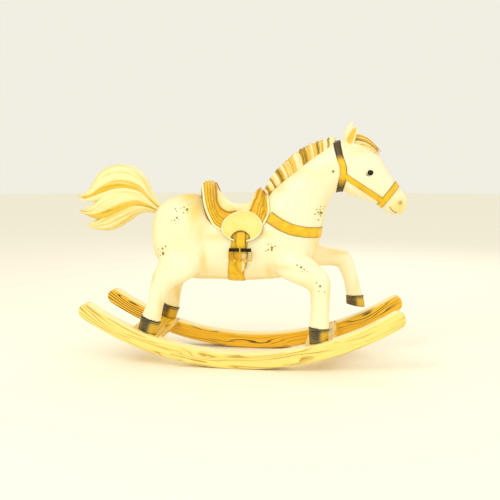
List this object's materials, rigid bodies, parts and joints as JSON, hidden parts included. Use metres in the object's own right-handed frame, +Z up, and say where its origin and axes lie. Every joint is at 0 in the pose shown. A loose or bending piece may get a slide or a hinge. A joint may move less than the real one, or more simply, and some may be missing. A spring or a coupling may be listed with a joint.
{
  "type": "rocking horse",
  "caption": "Carved and painted wooden rocking horse on bow rockers, with leather saddle, lifting side flaps, buckled girth, bridle, mane and tail.",
  "frame": {"origin": "on the floor, under the middle of the overall box", "axes": "+X towards the horse's nose, +Y towards its left side, +Z up"},
  "size_m": [1.125, 0.34, 0.786],
  "materials": {
    "pale_wood": "oiled pale ash with wavy grain",
    "golden_wood": "golden stained, dark streaked grain",
    "slat_wood": "oiled",
    "dowel_wood": "plain beech",
    "painted_wood": "cream paint, satin",
    "hoof_paint": "dark olive brown paint, gloss",
    "tail_hair": "pale combed hair",
    "mane_hair": "brown, gold and cream hair",
    "saddle_leather": "golden leather, piped",
    "seat_leather": "cream leather",
    "strap_leather": "golden leather, dark edges",
    "flap_leather": "cream leather, pale bound edge",
    "eye_glass": "black glossy bead",
    "brass": "polished",
    "roller_black": "black japanned",
    "steel": "zinc plated"
  },
  "bodies": {
    "horse": {"slat_screws": "steel", "right_rocker": "pale_wood", "left_rocker": "golden_wood", "hoof_bolts": "steel", "hoof_washers": "steel", "rear_cross_slat": "slat_wood", "front_cross_slat": "slat_wood", "leg_dowels": "dowel_wood", "neck_dowels": "dowel_wood", "tail_peg": "dowel_wood", "body_rear_block": "painted_wood", "body_front_block": "painted_wood", "body_top_plank": "painted_wood", "body_bottom_plank": "painted_wood", "body_right_side": "painted_wood", "body_left_side": "painted_wood", "neck_block": "painted_wood", "right_eye": "eye_glass", "left_eye": "eye_glass", "head_block": "painted_wood", "right_ear": "painted_wood", "left_ear": "painted_wood", "right_hind_leg": "painted_wood", "right_hind_hoof": "hoof_paint", "left_hind_leg": "painted_wood", "left_hind_hoof": "hoof_paint", "right_fore_leg": "painted_wood", "right_fore_hoof": "hoof_paint", "left_fore_leg": "painted_wood", "left_fore_hoof": "hoof_paint", "tail_hair": "tail_hair", "mane": "mane_hair", "forelock": "mane_hair", "saddle_skirt": "saddle_leather", "seat_cushion": "seat_leather", "cantle": "saddle_leather", "pommel": "saddle_leather", "saddle_welt": "seat_leather", "girth_strap": "strap_leather", "breast_strap": "strap_leather", "crown_strap": "strap_leather", "noseband": "strap_leather", "right_cheek_strap": "strap_leather", "left_cheek_strap": "strap_leather", "right_billet": "strap_leather", "right_buckle_frame": "brass", "left_billet": "strap_leather", "left_buckle_frame": "brass", "buckle_lugs": "strap_leather"},
    "right_flap_body": {"right_flap": "flap_leather"},
    "left_flap_body": {"left_flap": "flap_leather"},
    "right_roller_body": {"right_buckle_roller": "roller_black"},
    "left_roller_body": {"left_buckle_roller": "roller_black"},
    "right_prong_body": {"right_buckle_prong": "brass"},
    "left_prong_body": {"left_buckle_prong": "brass"}
  },
  "joints": [
    {"name": "right_flap_lift", "type": "hinge", "parent": "horse", "child": "right_flap_body", "pos_m": [0.035, -0.05182, 0.4865], "axis": [-1, 0, 0], "range_deg": [0, 25]},
    {"name": "right_roller_turn", "type": "hinge", "parent": "horse", "child": "right_roller_body", "pos_m": [0.032, -0.10693, 0.374], "axis": [1, 0, 0], "continuous": true},
    {"name": "right_prong_swing", "type": "hinge", "parent": "horse", "child": "right_prong_body", "pos_m": [0.032, -0.10269, 0.34], "axis": [1, 0, 0], "range_deg": [0, 80]},
    {"name": "left_flap_lift", "type": "hinge", "parent": "horse", "child": "left_flap_body", "pos_m": [0.035, 0.05182, 0.4865], "axis": [1, 0, 0], "range_deg": [0, 25]},
    {"name": "left_roller_turn", "type": "hinge", "parent": "horse", "child": "left_roller_body", "pos_m": [0.032, 0.10693, 0.374], "axis": [1, 0, 0], "continuous": true},
    {"name": "left_prong_swing", "type": "hinge", "parent": "horse", "child": "left_prong_body", "pos_m": [0.032, 0.10269, 0.34], "axis": [-1, 0, 0], "range_deg": [0, 80]}
  ]
}
